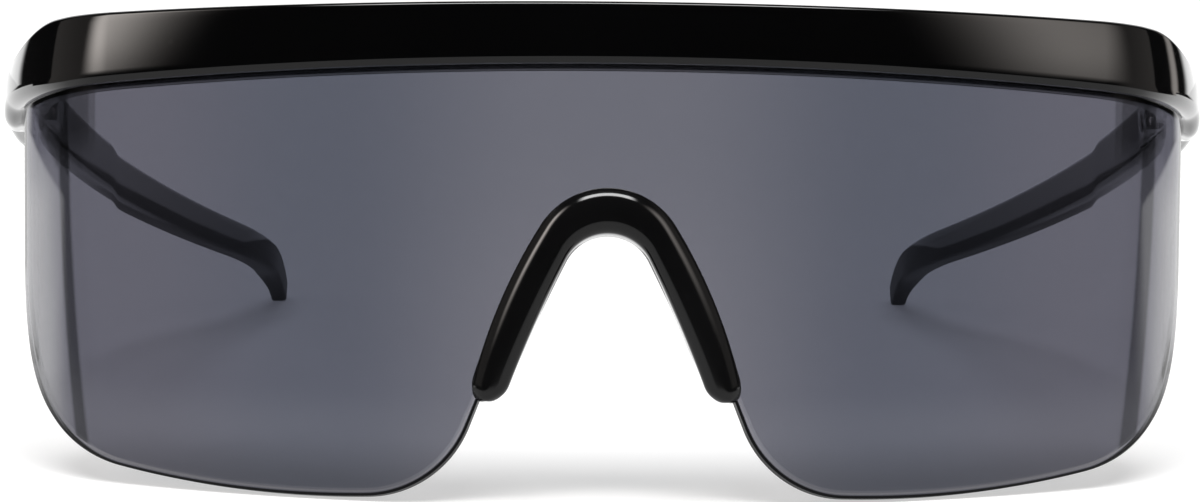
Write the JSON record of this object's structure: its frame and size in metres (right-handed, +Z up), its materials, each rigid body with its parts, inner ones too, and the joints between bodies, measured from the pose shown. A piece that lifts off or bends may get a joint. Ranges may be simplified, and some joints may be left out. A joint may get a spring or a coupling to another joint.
{
  "type": "shield sunglasses",
  "caption": "Wraparound shield sunglasses: one smoke lens hung from a gloss black brow bar, with a clip-on nose bridge and folding hooked temples.",
  "frame": {"origin": "middle of the bounding box's bottom, on the surface that the glasses stand on", "axes": "+X to the wearer's left, +Y from the lens back to the temple tips, +Z up; the glasses stand on the lens's lower edge and the temple tips"},
  "size_m": [0.1528, 0.16, 0.0586],
  "materials": {
    "frame_black": "polished",
    "nose_black": "polished",
    "smoke_lens": "clear smoke tint",
    "hinge_steel": "satin"
  },
  "bodies": {
    "front": {"brow_bar": "frame_black", "shield_lens": "smoke_lens", "nose_bridge": "nose_black", "front_leaf_left": "hinge_steel", "hinge_screw_left": "hinge_steel", "front_leaf_rivets_left": "hinge_steel", "front_leaf_right": "hinge_steel", "hinge_screw_right": "hinge_steel", "front_leaf_rivets_right": "hinge_steel"},
    "left_arm": {"temple_left": "frame_black", "temple_leaf_left": "hinge_steel", "temple_leaf_rivets_left": "hinge_steel"},
    "right_arm": {"temple_right": "frame_black", "temple_leaf_right": "hinge_steel", "temple_leaf_rivets_right": "hinge_steel"}
  },
  "joints": [
    {"name": "left_fold", "type": "hinge", "parent": "front", "child": "left_arm", "pos_m": [0.0711, -0.04465, 0.04394], "axis": [0, 0.3042, 0.9526], "range_deg": [0, 88]},
    {"name": "right_fold", "type": "hinge", "parent": "front", "child": "right_arm", "pos_m": [-0.0711, -0.04465, 0.04394], "axis": [0, -0.3042, -0.9526], "range_deg": [0, 76]}
  ]
}
